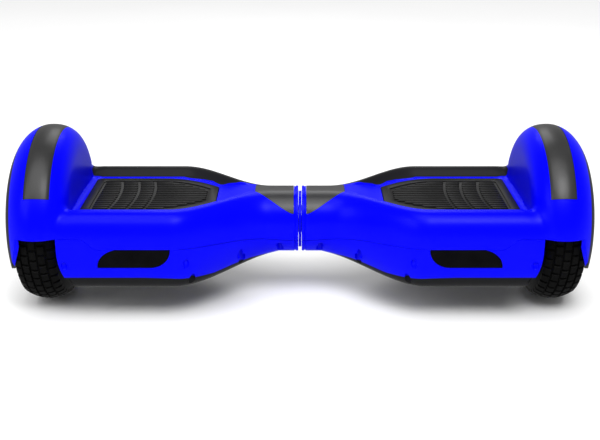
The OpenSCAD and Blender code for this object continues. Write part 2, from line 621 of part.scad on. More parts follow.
module to_port() translate([port_x, half_depth, port_z]) rotate([-90, 0, 0]) children();
module button_housing() color("black") lift() to_port() difference() {
    union() {
        translate([0, 0, 0.1]) cylinder(h = 1.2, r = 10);
        translate([0, 0, -20]) cylinder(h = 20.2, r = 8);
    }
    translate([0, 0, -16]) cylinder(h = 30, r = 6.3);
}
module power_button() color("dimgray") lift() to_port() {
    translate([0, 0, -9]) cylinder(h = 11.6, r = 6);
    translate([0, 0, -14.3]) cylinder(h = 5, r = 2);
    translate([0, 0, -10.7]) cylinder(h = 2, r = 6.2);
}
module charge_socket() color("silver") lift() to_port() {
    difference() {
        union() {
            translate([0, 0, 0.1]) cylinder(h = 1, r = 10);
            translate([0, 0, -18]) cylinder(h = 18.2, r = 7.8);
        }
        translate([0, 0, -12]) cylinder(h = 30, r = 6.2);
    }
    for (a = [90, 210, 330]) rotate([0, 0, a]) translate([3.2, 0, -12.5]) cylinder(h = 9, r = 1);
    for (s = [-1, 1]) difference() {
        translate([s * 4.4 - 1.4, -hinge_y - 1.6, 0.1]) union() {
            cube([2.8, 4.8, 1]);
            cube([2.8, 2.8, 3.6]);
        }
        translate([s * 4.4 - 2, -hinge_y, hinge_z]) rotate([0, 90, 0]) cylinder(h = 4, r = 0.95);
    }
}
module charge_cap() color("black") lift() to_port() {
    difference() {
        union() {
            translate([0, 0, 1.3]) cylinder(h = 2, r = 9.6);
            translate([0, 0, -1.4]) cylinder(h = 3, r = 5.7);
        }
        translate([0, 0, -2]) cylinder(h = 3, r = 4.4);
    }
    translate([-2.6, -hinge_y, 1.3]) cube([5.2, hinge_y - 7.6, 2]);
    translate([-2.6, -hinge_y, hinge_z]) rotate([0, 90, 0]) cylinder(h = 5.2, r = 1.2);
    translate([-5.4, -hinge_y, hinge_z]) rotate([0, 90, 0]) cylinder(h = 10.8, r = 0.85);
}

left() top_cover();  // top_cover_left
right() top_cover();  // top_cover_right
left() bottom_cover(7.8);  // bottom_cover_left
right() bottom_cover(8);  // bottom_cover_right
left() bumper_strip();  // bumper_strip_left
right() bumper_strip();  // bumper_strip_right
left() foot_mat();  // foot_mat_left
right() foot_mat();  // foot_mat_right
left() headlight_lens();  // headlight_lens_left
right() headlight_lens();  // headlight_lens_right
left() headlight_board();  // headlight_board_left
right() headlight_board();  // headlight_board_right
left() indicator_lens();  // indicator_lens_left
right() indicator_lens();  // indicator_lens_right
left() indicator_board();  // indicator_board_left
right() indicator_board();  // indicator_board_right
left() cover_screws();  // cover_screws_left
right() cover_screws();  // cover_screws_right
left() screw_sleeves();  // screw_sleeves_left
right() screw_sleeves();  // screw_sleeves_right
left() frame(tube_r + run_fit);  // frame_left
right() frame(bush_r);  // frame_right
left() axle_clamp();  // axle_clamp_left
right() axle_clamp();  // axle_clamp_right
left() clamp_bolts();  // clamp_bolts_left
right() clamp_bolts();  // clamp_bolts_right
left() sensor_board();  // sensor_board_left
right() sensor_board();  // sensor_board_right
left() motor_lead(left_way);  // motor_lead_left
right() motor_lead(right_way);  // motor_lead_right
left() tyre();  // tyre_left
right() tyre();  // tyre_right
left() wheel_rim();  // wheel_rim_left
right() wheel_rim();  // wheel_rim_right
left() hub_cover();  // hub_cover_left
right() hub_cover();  // hub_cover_right
left() magnet_ring();  // magnet_ring_left
right() magnet_ring();  // magnet_ring_right
left() bearings();  // bearings_left
right() bearings();  // bearings_right
left() stator();  // stator_left
right() stator();  // stator_right
left() axle();  // axle_left
right() axle();  // axle_right
pivot_tube();
pivot_bush();
retaining_ring();
twist_stop();
seal_ring();
cross_harness();
left() battery_pack();
left() battery_strap();
right() main_board();
right() heat_sink();
right() button_housing();
right() power_button();
left() charge_socket();
left() charge_cap();
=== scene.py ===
import json
import math

import bpy
import numpy as np
from mathutils import Matrix, Vector

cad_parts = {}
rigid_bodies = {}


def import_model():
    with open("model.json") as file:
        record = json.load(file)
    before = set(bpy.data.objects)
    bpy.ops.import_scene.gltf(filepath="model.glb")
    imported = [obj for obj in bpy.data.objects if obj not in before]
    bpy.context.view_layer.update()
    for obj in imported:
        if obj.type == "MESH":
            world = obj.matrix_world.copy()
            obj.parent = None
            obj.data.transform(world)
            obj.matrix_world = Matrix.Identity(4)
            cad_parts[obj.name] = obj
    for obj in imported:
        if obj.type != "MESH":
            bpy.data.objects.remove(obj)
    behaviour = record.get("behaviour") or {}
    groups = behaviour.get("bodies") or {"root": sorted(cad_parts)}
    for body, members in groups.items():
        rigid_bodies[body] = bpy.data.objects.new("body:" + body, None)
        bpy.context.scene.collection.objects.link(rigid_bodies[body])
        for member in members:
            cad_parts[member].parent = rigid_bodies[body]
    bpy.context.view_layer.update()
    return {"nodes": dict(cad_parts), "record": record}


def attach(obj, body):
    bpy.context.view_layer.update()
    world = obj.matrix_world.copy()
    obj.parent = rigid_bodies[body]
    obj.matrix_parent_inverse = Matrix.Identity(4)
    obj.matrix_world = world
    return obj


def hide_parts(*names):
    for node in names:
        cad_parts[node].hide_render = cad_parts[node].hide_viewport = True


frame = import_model()

# ---- Camera
# The board is seen from the front, a little from above, with its long side across the view.
# The lens is long enough to keep both wheels nearly square to the eye.
scene = bpy.context.scene
scene.view_settings.view_transform = "Standard"
LOOK_AT = Vector((0, 0, 0.080))
CAMERA_DISTANCE, CAMERA_RISE, CAMERA_LENS = 1.069, math.radians(19.8), 61.9
bpy.ops.object.select_all(action="DESELECT")
bpy.ops.object.camera_add(location=LOOK_AT + CAMERA_DISTANCE * Vector(
    (0, -math.cos(CAMERA_RISE), math.sin(CAMERA_RISE))))
camera = bpy.context.object
camera.rotation_euler = (LOOK_AT - camera.location).to_track_quat("-Z", "Y").to_euler()
camera.data.lens = CAMERA_LENS
camera.data.sensor_width = 36
scene.camera = camera

# ---- Upper covers
# The painted upper mouldings: the waisted body with its raised shoulders, and a dome over each wheel.
# Injection moulded in one piece a half, 2.8 mm thick, sprayed blue in front and left black behind.
# Sizes are in millimetres, heights are from the wheel axis, and each shape is drawn for the right half.
AXIS_Z = 0.084
MM, WELD = 0.001, 2e-6
BODY_START, BODY_END, HALF_LEN = 1.75, 237, 292
BELLY_START, NECK_END, DECK_START, WELL_X = 22, 30, 125, 224
NECK_R, HALF_DEPTH, PIVOT_DROP = 33, 90, 2.4
NECK_TOP, CREST_Z, DECK_Z = 30.6, 32, 23
NECK_BELLY_Z, BELLY_Z, BELLY_FLAT = 34.7, 50.5, 60
CREST_Y, DECK_Y = 71, 57
NECK_CREST_Y, NECK_DECK_Y, NECK_FLAT = 6, 2, 3
NECK_ROUND, BODY_ROUND = 2, 2.3
DECK_FALL_START, DECK_FALL_END = 50, 84
PARTING_NECK, PARTING_DECK, PARTING_WHEEL = -15, -2, 8.5
GROOVE_DEPTH, GROOVE_START, GROOVE_END = 0.8, 4.4, 5.6
CROWN_X, FENDER_R, OUTER_BULGE = 253, 95.5, 4
INNER_SHOULDER, OUTER_SHOULDER = 30, 43.5
SKIRT_X, SKIRT_DROP = 268.5, 38
SHELL_T, DECK_SINK = 2.8, 7
DROP_FIT, FAR = 0.3, 120
MAT_START, MAT_END, MAT_HALF_W = 85, 217, 55
MAT_TAPER, MAT_TIP, MAT_CORNER = 60, 0.45, 6
INDICATOR_X, INDICATOR_LEN, INDICATOR_SPREAD = 6.5, 39, 64
STRIP_START, STRIP_END, STRIP_LOW = CROWN_X - 15, CROWN_X + 9, 29.5


def mix(a, b, t):
    return a + (b - a) * t


def smooth(a, b, x):
    t = min(1, max(0, (x - a) / (b - a)))
    return t * t * (3 - 2 * t)


def widening(x):
    return smooth(NECK_END, DECK_START, x)


def depth_at(x):
    return mix(NECK_R, HALF_DEPTH, widening(x))


def belly_at(x):
    t = min(1, max(0, (x - BELLY_START) / (DECK_START - BELLY_START)))
    return mix(NECK_BELLY_Z, BELLY_Z, 1 - (1 - t) ** 2)


def top_at(x):
    return mix(NECK_TOP, CREST_Z, widening(x))


def roundness(x):
    return mix(NECK_ROUND, BODY_ROUND, widening(x))


def waist_at(x):
    return mix(-PIVOT_DROP, 0, widening(x))


def parting_at(x):
    if x < DECK_START:
        return mix(PARTING_NECK, PARTING_DECK, smooth(0, DECK_START, x))
    return mix(PARTING_DECK, PARTING_WHEEL, smooth(WELL_X - 30, WELL_X - 14, x))


def quarter(wide, z_wide, y_top, z_top, power, steps):
    """One quarter of a rounded section, from its widest point to its top or belly."""
    out = []
    for i in range(steps + 1):
        a = math.radians(90 * i / steps)
        out.append((y_top + (wide - y_top) * max(0, math.cos(a)) ** (2 / power),
                    z_wide + (z_top - z_wide) * max(0, math.sin(a)) ** (2 / power)))
    return out


def section(x, inset, sink):
    """Closed section of the body across the board, inset by the wall, with a groove round the neck."""
    s, fall = widening(x), smooth(DECK_FALL_START, DECK_FALL_END, x)
    groove = 0
    if inset == 0:
        groove = GROOVE_DEPTH * (smooth(GROOVE_START - 0.2, GROOVE_START + 0.2, x)
                                 - smooth(GROOVE_END - 0.2, GROOVE_END + 0.2, x))
    t = inset + groove
    y_crest, y_deck = mix(NECK_CREST_Y, CREST_Y, s), mix(NECK_DECK_Y, DECK_Y, s)
    z_crest = top_at(x) - t
    z_deck = min(mix(NECK_TOP, DECK_Z, fall) - mix(t, sink, fall), z_crest - 0.01)
    upper = quarter(depth_at(x) - t, waist_at(x), y_crest, z_crest, roundness(x), 20)
    upper += [(mix(y_crest, y_deck, j / 8), mix(z_crest, z_deck, (1 - math.cos(math.pi * j / 8)) / 2))
              for j in range(1, 9)]
    upper += [(y_deck * (1 - j / 9), z_deck) for j in range(1, 10)]
    y_flat = mix(NECK_FLAT, BELLY_FLAT, s)
    lower = quarter(depth_at(x) - t, waist_at(x), y_flat, t - belly_at(x), roundness(x), 20)
    lower += [(y_flat * (1 - j / 9), t - belly_at(x)) for j in range(1, 10)]
    left_up = [(-y, z) for y, z in upper]
    left_low = [(-y, z) for y, z in lower]
    return left_up + upper[-2::-1] + lower[1:] + left_low[-2:0:-1]


def place(points):
    """Millimetres from the wheel axis to metres from the floor."""
    p = np.array(points, float) * MM
    p[..., 2] += AXIS_Z
    return p


def wrapped(name, rings):
    """A grid wrapped round a row of closed rings, joined along its seam, with both ends filled."""
    rows, columns = len(rings), len(rings[0])
    bpy.ops.object.select_all(action="DESELECT")
    bpy.ops.mesh.primitive_grid_add(x_subdivisions=columns, y_subdivisions=rows - 1, size=1)
    piece = bpy.context.object
    piece.name = piece.data.name = name
    closed = place([list(r) + [r[0]] for r in rings])
    piece.data.vertices.foreach_set("co", closed.reshape(-1).astype(np.float32))
    bpy.ops.object.mode_set(mode="EDIT")
    bpy.ops.mesh.select_all(action="SELECT")
    bpy.ops.mesh.remove_doubles(threshold=WELD)
    bpy.ops.mesh.select_all(action="DESELECT")
    bpy.ops.mesh.select_mode(type="EDGE")
    bpy.ops.mesh.select_non_manifold(extend=False)
    bpy.ops.mesh.edge_face_add()
    bpy.ops.mesh.select_all(action="SELECT")
    bpy.ops.mesh.normals_make_consistent(inside=False)
    bpy.ops.object.mode_set(mode="OBJECT")
    return piece


def spun(name, outline, first=0, turn=360, steps=180):
    """An outline of (along, radius) points spun about the wheel axis. 0 is the front, 90 the top."""
    n = len(outline)
    mesh = bpy.data.meshes.new(name)
    a = math.radians(first)
    mesh.from_pydata([tuple(place((x, -r * math.cos(a), r * math.sin(a)))) for x, r in outline],
                     [(i, (i + 1) % n) for i in range(n)], [])
    piece = bpy.data.objects.new(name, mesh)
    scene.collection.objects.link(piece)
    bpy.ops.object.select_all(action="DESELECT")
    piece.select_set(True)
    bpy.context.view_layer.objects.active = piece
    bpy.ops.object.mode_set(mode="EDIT")
    bpy.ops.mesh.select_all(action="SELECT")
    bpy.ops.mesh.spin(steps=steps, angle=math.radians(turn), center=(0, 0, AXIS_Z), axis=(1, 0, 0))
    bpy.ops.mesh.select_all(action="SELECT")
    bpy.ops.mesh.remove_doubles(threshold=WELD)
    bpy.ops.mesh.dissolve_degenerate(threshold=WELD / 2)
    if turn < 360:
        bpy.ops.mesh.select_mode(type="EDGE")
        bpy.ops.mesh.select_non_manifold(extend=False)
        bpy.ops.mesh.edge_face_add()
        bpy.ops.mesh.select_all(action="SELECT")
    bpy.ops.mesh.normals_make_consistent(inside=False)
    bpy.ops.object.mode_set(mode="OBJECT")
    return piece


def block(name, outline, low, high, axis):
    """A flat outline made a solid block along one axis: x takes (y, z), y takes (x, z), z takes (x, y)."""
    order = {"x": lambda p, h: (h, p[0], p[1]), "y": lambda p, h: (p[0], h, p[1]),
             "z": lambda p, h: (p[0], p[1], h)}[axis]
    return wrapped(name, [[order(p, low) for p in outline], [order(p, high) for p in outline]])


def rod(name, low, high, radius, centre, axis, sides=48):
    """A round bar along one axis, for bores and bosses."""
    outline = [(centre[0] + radius * math.cos(2 * math.pi * i / sides),
                centre[1] + radius * math.sin(2 * math.pi * i / sides)) for i in range(sides)]
    return block(name, outline, low, high, axis)


def cut(piece, tool, how="DIFFERENCE"):
    """Cuts, joins or keeps what both hold, and takes the tool away."""
    modifier = piece.modifiers.new("cut", "BOOLEAN")
    modifier.operation, modifier.object, modifier.solver = how, tool, "MANIFOLD"
    bpy.ops.object.select_all(action="DESELECT")
    piece.select_set(True)
    bpy.context.view_layer.objects.active = piece
    bpy.ops.object.modifier_apply(modifier=modifier.name)
    bpy.data.objects.remove(tool)
    return piece


def smooth_by_angle(piece, degrees):
    bpy.ops.object.select_all(action="DESELECT")
    piece.select_set(True)
    bpy.context.view_layer.objects.active = piece
    bpy.ops.object.shade_smooth_by_angle(angle=math.radians(degrees))
    return piece


def mirrored(piece, name):
    """The same piece for the left half, with its own mesh."""
    twin = piece.copy()
    twin.data = piece.data.copy()
    twin.name = twin.data.name = name
    scene.collection.objects.link(twin)
    twin.data.transform(Matrix.Scale(-1, 4, (1, 0, 0)))
    twin.data.flip_normals()
    return twin


def row_places(start, end):
    """Places of the sections along the body: close together at the neck's groove, then 3 mm apart."""
    fine = [start]
    if start < 2:
        fine += [3] + [edge + d for edge in (GROOVE_START, GROOVE_END) for d in (-0.2, 0, 0.2)] + [7]
    count = round((end - fine[-1]) / 3)
    return fine + [mix(fine[-1], end, i / count) for i in range(1, count + 1)]


def body_solid(name, start, end, inset=0, sink=0):
    return wrapped(name, [[(x, y, z) for y, z in section(x, inset, sink)] for x in row_places(start, end)])


def fender_outline(inset):
    """Outline of the dome over a wheel, from the axis up its inner wall, over the crown and down outside."""
    inner, outer = CROWN_X - WELL_X, HALF_LEN - OUTER_BULGE - CROWN_X
    out = [(WELL_X + inset, 0)] + [(WELL_X + inset, r) for r in range(12, 64, 3)]
    for i in range(19):
        a = math.radians(5 * i)
        out.append((CROWN_X - (inner - inset) * max(0, math.cos(a)) ** (2 / BODY_ROUND),
                    FENDER_R - INNER_SHOULDER + (INNER_SHOULDER - inset) * math.sin(a) ** (2 / BODY_ROUND)))
    for i in range(1, 21):
        a = math.radians(4.5 * i)
        out.append((CROWN_X + (outer - inset) * math.sin(a),
                    FENDER_R - OUTER_SHOULDER + (OUTER_SHOULDER - inset) * math.cos(a)))
    side = HALF_LEN - inset
    return out + [(side - 1 - 1.6 * (1 - k) ** 2, 26 + 26 * (1 - k)) for k in (0.35, 0.7, 1)] + [
        (side - 0.25, 13), (side, 0)]


def above_parting(name, drop=0):
    """Everything above the parting line, for cutting one cover from the other."""
    start, end = -5, HALF_LEN + 1
    xs = [start, *np.arange(0, DECK_START + 1, 5), *np.arange(WELL_X - 31, WELL_X - 12, 1.5), end]
    return block(name, [(x, parting_at(x) - drop) for x in xs] + [(end, FAR), (start, FAR)], -FAR, FAR, "y")


def skirt_block(name):
    """The hanging part of the dome's outer wall, with rounded lower corners."""
    edge = FENDER_R - 7
    front = [(-edge, 20), (-edge, PARTING_WHEEL + 0.1)]
    for i in range(1, 13):
        a = math.radians(7.5 * i)
        front.append((-edge + (edge - SKIRT_DROP) * (1 - math.cos(a)),
                      PARTING_WHEEL - (PARTING_WHEEL + SKIRT_DROP) * math.sin(a)))
    return block(name, front + [(-y, z) for y, z in reversed(front)], SKIRT_X, HALF_LEN + 12, "x")


def mat_half_width(x):
    """The mat is narrow at its inner end and reaches its full width after the taper."""
    share = 1 - (1 - min(1, max(0, (x - MAT_START) / MAT_TAPER))) ** 2
    return MAT_HALF_W * mix(MAT_TIP, 1, share)


def mat_outline(inset):
    tapers = [MAT_TAPER * (i / 14) ** 1.6 for i in range(15)]
    side = [(MAT_START + inset + u, mat_half_width(MAT_START + 0.4 * inset + u) - inset) for u in tapers]
    for i in range(7):
        a = math.radians(15 * i)
        side.append((MAT_END - inset - MAT_CORNER + MAT_CORNER * math.sin(a),
                     MAT_HALF_W - inset - MAT_CORNER + MAT_CORNER * math.cos(a)))
    return side + [(x, -y) for x, y in reversed(side)]


def neck_patch(name, grow, outer, inner):
    """The arrow-shaped place of an indicator on top of the neck, between two depths under its surface."""
    rings = []
    for i in range(25):
        x = INDICATOR_X - grow + (INDICATOR_LEN + 2 * grow) * i / 24
        half = INDICATOR_SPREAD - 50 * (max(0, x - 8) / INDICATOR_LEN) ** 1.25 + 2 * grow
        power, y_crest = roundness(x), mix(NECK_CREST_Y, CREST_Y, widening(x))
        ring = []
        for t, turns in ((outer, range(31)), (inner, range(30, -1, -1))):
            wide, tall = depth_at(x) - t, top_at(x) - waist_at(x) - t
            for k in turns:
                y = wide * math.sin(math.radians(mix(-half, half, k / 30)))
                out = max(0, (abs(y) - y_crest) / (wide - y_crest))
                ring.append((x, y, waist_at(x) + tall * (1 - out ** power) ** (1 / power)))
        rings.append(ring)
    return wrapped(name, rings)


def crown_radius(x):
    """Radius of the dome's surface about the wheel axis, at a place along it."""
    if x < CROWN_X:
        out = (CROWN_X - x) / (CROWN_X - WELL_X)
        return FENDER_R - INNER_SHOULDER * (1 - (1 - out ** BODY_ROUND) ** (1 / BODY_ROUND))
    out = (x - CROWN_X) / (HALF_LEN - OUTER_BULGE - CROWN_X)
    return FENDER_R - OUTER_SHOULDER * (1 - math.sqrt(1 - out ** 2))


def strip_ring(name, grow, outer, inner, corner=0.0):
    """A band over the crown of the dome, between two depths under its surface."""
    x0, x1 = STRIP_START - grow, STRIP_END + grow
    top = []
    for i in range(17):
        x = mix(x0, x1, i / 16)
        edge = min(x - x0, x1 - x)
        top.append((x, crown_radius(x) - outer - corner * max(0, 1 - edge / 1.2) ** 2))
    under = [(mix(x1, x0, i / 8), crown_radius(mix(x1, x0, i / 8)) - inner) for i in range(9)]
    first = STRIP_LOW - grow
    return spun(name, top + under, first, 180 - 2 * first, 96)


upper_cover = body_solid("upper_cover_right", BODY_START, BODY_END)
cut(upper_cover, spun("dome", fender_outline(0)), "UNION")

# The body flows into the dome: the corner where they meet is picked out, widened and smoothed.
JUNCTION_X = 0.210
bpy.ops.object.mode_set(mode="EDIT")
bpy.ops.mesh.select_mode(type="VERT")
bpy.ops.mesh.select_all(action="DESELECT")
bpy.ops.mesh.edges_select_sharp(sharpness=math.radians(20))
bpy.ops.object.mode_set(mode="OBJECT")
points = upper_cover.data.vertices
for vertex in points:
    vertex.select = vertex.select and vertex.co.x > JUNCTION_X
for edge in upper_cover.data.edges:
    edge.select = all(points[v].select for v in edge.vertices)
for face in upper_cover.data.polygons:
    face.select = all(points[v].select for v in face.vertices)
bpy.ops.object.mode_set(mode="EDIT")
for _ in range(3):
    bpy.ops.mesh.select_more()
bpy.ops.mesh.vertices_smooth(factor=0.5, repeat=14)
bpy.ops.object.mode_set(mode="OBJECT")

# The cover is what lies above the parting line, with the skirt that hangs outside the wheel.
upper_form = upper_cover.copy()
upper_form.data = upper_cover.data.copy()
scene.collection.objects.link(upper_form)
cut(upper_cover, above_parting("above"), "INTERSECT")
cut(upper_form, skirt_block("skirt"), "INTERSECT")
cut(upper_form, above_parting("above"))
cut(upper_cover, upper_form, "UNION")
STRIP_T, NECK_BORE, RECESS_FLOOR = 1.6, 21.6, 18.8
cut(upper_cover, body_solid("hollow", BODY_START + SHELL_T, WELL_X - 0.05, SHELL_T, DECK_SINK))
cut(upper_cover, spun("well", fender_outline(SHELL_T)))
cut(upper_cover, block("recess", mat_outline(-2 * DROP_FIT), RECESS_FLOOR, 60, "z"))
cut(upper_cover, neck_patch("lamp_place", DROP_FIT, -1, SHELL_T + 1))
cut(upper_cover, strip_ring("strip_place", DROP_FIT, -1, STRIP_T))
cut(upper_cover, rod("neck_bore", 0, 6, NECK_BORE, (0, -PIVOT_DROP), "x"))
smooth_by_angle(upper_cover, 35)


def value_group(name, inputs, outputs):
    """An empty shader group with float or colour sockets."""
    group = bpy.data.node_groups.new(name, "ShaderNodeTree")
    for label, kind, value in inputs:
        socket = group.interface.new_socket(label, in_out="INPUT", socket_type=kind)
        if value is not None:
            socket.default_value = value
    for label, kind in outputs:
        group.interface.new_socket(label, in_out="OUTPUT", socket_type=kind)
    return group, group.nodes.new("NodeGroupInput"), group.nodes.new("NodeGroupOutput")


# Moulded grain: fine noise for the height and a slow cloud for the shade.
grain, grain_in, grain_out = value_group(
    "moulded_grain",
    [("Vector", "NodeSocketVector", None), ("Grain", "NodeSocketFloat", 900),
     ("Cloud", "NodeSocketFloat", 14)],
    [("Height", "NodeSocketFloat"), ("Shade", "NodeSocketFloat")])
fine_noise = grain.nodes.new("ShaderNodeTexNoise")
fine_noise.inputs["Detail"].default_value = 3
slow_noise = grain.nodes.new("ShaderNodeTexNoise")
slow_noise.inputs["Detail"].default_value = 5
for noise, scale in ((fine_noise, "Grain"), (slow_noise, "Cloud")):
    grain.links.new(grain_in.outputs["Vector"], noise.inputs["Vector"])
    grain.links.new(grain_in.outputs[scale], noise.inputs["Scale"])
grain.links.new(fine_noise.outputs["Fac"], grain_out.inputs["Height"])
grain.links.new(slow_noise.outputs["Fac"], grain_out.inputs["Shade"])

# Dust: lies on what faces up, thinner where the slow noise is low.
dust, dust_in, dust_out = value_group(
    "dust", [("Vector", "NodeSocketVector", None), ("Amount", "NodeSocketFloat", 0.1)],
    [("Mask", "NodeSocketFloat")])
dust_noise = dust.nodes.new("ShaderNodeTexNoise")
dust_noise.inputs["Scale"].default_value = 45
dust_noise.inputs["Detail"].default_value = 8
dust_normal = dust.nodes.new("ShaderNodeNewGeometry")
dust_split = dust.nodes.new("ShaderNodeSeparateXYZ")
dust_up = dust.nodes.new("ShaderNodeMath")
dust_up.operation, dust_up.use_clamp = "MULTIPLY", True
dust_mask = dust.nodes.new("ShaderNodeMath")
dust_mask.operation, dust_mask.use_clamp = "MULTIPLY", True
dust.links.new(dust_in.outputs["Vector"], dust_noise.inputs["Vector"])
dust.links.new(dust_normal.outputs["Normal"], dust_split.inputs[0])
dust.links.new(dust_split.outputs["Z"], dust_up.inputs[0])
dust.links.new(dust_noise.outputs["Fac"], dust_up.inputs[1])
dust.links.new(dust_up.outputs[0], dust_mask.inputs[0])
dust.links.new(dust_in.outputs["Amount"], dust_mask.inputs[1])
dust.links.new(dust_mask.outputs[0], dust_out.inputs["Mask"])


DUST_COLOUR, ROUGH_SPREAD, COAT_ROUGH = (0.42, 0.41, 0.39), 0.06, 0.12


def moulded(name, dark, light, rough, metallic=0.0, coat=0.0, grain_size=900, depth=0.1, bump=0.00005,
            cloud=14, dusty=0.06, specular=0.5):
    """A finish between two near shades, with its own grain and dust.

    Returns the material, its node tree, and the mix of the two shades.
    """
    material = bpy.data.materials.new(name)
    material.use_nodes = True
    tree = material.node_tree
    shader = tree.nodes["Principled BSDF"]
    place_node = tree.nodes.new("ShaderNodeTexCoord")
    grain_node = tree.nodes.new("ShaderNodeGroup")
    grain_node.node_tree = grain
    grain_node.inputs["Grain"].default_value = grain_size
    grain_node.inputs["Cloud"].default_value = cloud
    dust_node = tree.nodes.new("ShaderNodeGroup")
    dust_node.node_tree = dust
    dust_node.inputs["Amount"].default_value = dusty
    shade = tree.nodes.new("ShaderNodeMix")
    shade.data_type = "RGBA"
    shade.inputs["A"].default_value = (*dark, 1)
    shade.inputs["B"].default_value = (*light, 1)
    dusted = tree.nodes.new("ShaderNodeMix")
    dusted.name, dusted.data_type = "dusted", "RGBA"
    dusted.inputs["B"].default_value = (*DUST_COLOUR, 1)
    roughness = tree.nodes.new("ShaderNodeMapRange")
    roughness.inputs["To Min"].default_value = max(0, rough - ROUGH_SPREAD)
    roughness.inputs["To Max"].default_value = min(1, rough + ROUGH_SPREAD)
    bump_node = tree.nodes.new("ShaderNodeBump")
    bump_node.inputs["Strength"].default_value = depth
    bump_node.inputs["Distance"].default_value = bump
    for group in (grain_node, dust_node):
        tree.links.new(place_node.outputs["Object"], group.inputs["Vector"])
    tree.links.new(grain_node.outputs["Shade"], shade.inputs["Factor"])
    tree.links.new(shade.outputs["Result"], dusted.inputs["A"])
    tree.links.new(dust_node.outputs["Mask"], dusted.inputs["Factor"])
    tree.links.new(dusted.outputs["Result"], shader.inputs["Base Color"])
    tree.links.new(grain_node.outputs["Shade"], roughness.inputs["Value"])
    tree.links.new(roughness.outputs["Result"], shader.inputs["Roughness"])
    tree.links.new(grain_node.outputs["Height"], bump_node.inputs["Height"])
    tree.links.new(bump_node.outputs["Normal"], shader.inputs["Normal"])
    shader.inputs["Metallic"].default_value = metallic
    shader.inputs["Coat Weight"].default_value = coat
    shader.inputs["Coat Roughness"].default_value = COAT_ROUGH
    shader.inputs["Specular IOR Level"].default_value = specular
    return material, tree, shade


def curve_of(tree, points):
    """A float curve through (place, value) points, both already between 0 and 1."""
    node = tree.nodes.new("ShaderNodeFloatCurve")
    line = node.mapping.curves[0]
    line.points[0].location, line.points[1].location = points[0], points[-1]
    for p in points[1:-1]:
        line.points.new(*p)
    for p in line.points:
        p.handle_type = "VECTOR"
    node.mapping.update()
    return node


def math_node(tree, operation, a, b=None, clamp=False):
    node = tree.nodes.new("ShaderNodeMath")
    node.operation, node.use_clamp = operation, clamp
    for i, v in enumerate((a, b)):
        if v is None:
            continue
        if isinstance(v, (int, float)):
            node.inputs[i].default_value = v
        else:
            tree.links.new(v, node.inputs[i])
    return node.outputs[0]


BODY_BLACK = (0.012, 0.012, 0.013)

# Two-tone paint: blue up to a line along the deck and down to a line under the front face.
# The lines are (distance from the middle, distance back) and (distance from the middle, depth), in mm.
paint, paint_tree, paint_shade = moulded(
    "two_tone_paint", (0.0, 0.0, 0.72), (0.0, 0.0, 0.84), 0.30, grain_size=260, depth=0.06, bump=0.00004,
    dusty=0.0, specular=0.05)
paint_place = paint_tree.nodes.new("ShaderNodeTexCoord")
paint_split = paint_tree.nodes.new("ShaderNodeSeparateXYZ")
paint_tree.links.new(paint_place.outputs["Object"], paint_split.inputs[0])
CURVE_LEN, CURVE_H, BLACK_SIDE, REAR_Y, REAR_Z = 300, 100, 0.2790, 0.060, 0.033
from_middle = math_node(paint_tree, "ABSOLUTE", paint_split.outputs["X"])
along = math_node(paint_tree, "MULTIPLY", from_middle, 1 / (CURVE_LEN * MM))
edge_back = [(0, 12), (48, 13), (58, 19), (67, 24), (76, 31), (85, 36), (93, 45), (102, 51), (110, 55),
             (125, 60), (222, 60), (224, 97), (240, 97), (250, 62), (262, 44), (300, 44)]
edge_low = [(0, 36), (30, 35), (50, 34.5), (62, 35.5), (85, 38.5), (105, 36.5), (125, 34), (150, 33),
            (234, 33), (240, 42), (300, 42)]
back_curve = curve_of(paint_tree, [(x / CURVE_LEN, y / CURVE_H) for x, y in edge_back])
low_curve = curve_of(paint_tree, [(x / CURVE_LEN, y / CURVE_H) for x, y in edge_low])
for curve in (back_curve, low_curve):
    paint_tree.links.new(along, curve.inputs["Value"])
past_back = math_node(paint_tree, "SUBTRACT", paint_split.outputs["Y"],
                      math_node(paint_tree, "MULTIPLY", back_curve.outputs[0], CURVE_H * MM))
below_low = math_node(paint_tree, "SUBTRACT",
                      math_node(paint_tree, "SUBTRACT", AXIS_Z, paint_split.outputs["Z"]),
                      math_node(paint_tree, "MULTIPLY", low_curve.outputs[0], CURVE_H * MM))
past_side = math_node(paint_tree, "SUBTRACT", from_middle, BLACK_SIDE)
rear_low = math_node(paint_tree, "MINIMUM",
                     math_node(paint_tree, "SUBTRACT", paint_split.outputs["Y"], REAR_Y),
                     math_node(paint_tree, "SUBTRACT", AXIS_Z + REAR_Z, paint_split.outputs["Z"]))
outside = math_node(paint_tree, "MAXIMUM", math_node(paint_tree, "MAXIMUM", past_back, below_low),
                    math_node(paint_tree, "MAXIMUM", past_side, rear_low))
EDGE_SHARPNESS = 1400
black_mask = math_node(paint_tree, "MULTIPLY_ADD", outside, EDGE_SHARPNESS, clamp=True)
black_mask.node.inputs[2].default_value = 0.5
black_mix = paint_tree.nodes.new("ShaderNodeMix")
black_mix.data_type = "RGBA"
black_mix.inputs["B"].default_value = (*BODY_BLACK, 1)
paint_tree.links.new(paint_shade.outputs["Result"], black_mix.inputs["A"])
paint_tree.links.new(black_mask, black_mix.inputs["Factor"])
paint_tree.links.new(black_mix.outputs["Result"], paint_tree.nodes["dusted"].inputs["A"])


def coat_with(piece, material):
    piece.data.materials.clear()
    piece.data.materials.append(material)


coat_with(upper_cover, paint)


def both_sides(piece, base, body):
    """Names the right piece and its left twin, and ties each to its body."""
    piece.name = piece.data.name = base + "_right"
    for side, one in (("right", piece), ("left", mirrored(piece, base + "_left"))):
        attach(one, body.replace("SIDE", side))
        yield side, one


for side, one in both_sides(upper_cover, "upper_cover", "SIDE_half"):
    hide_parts("top_cover_" + side)

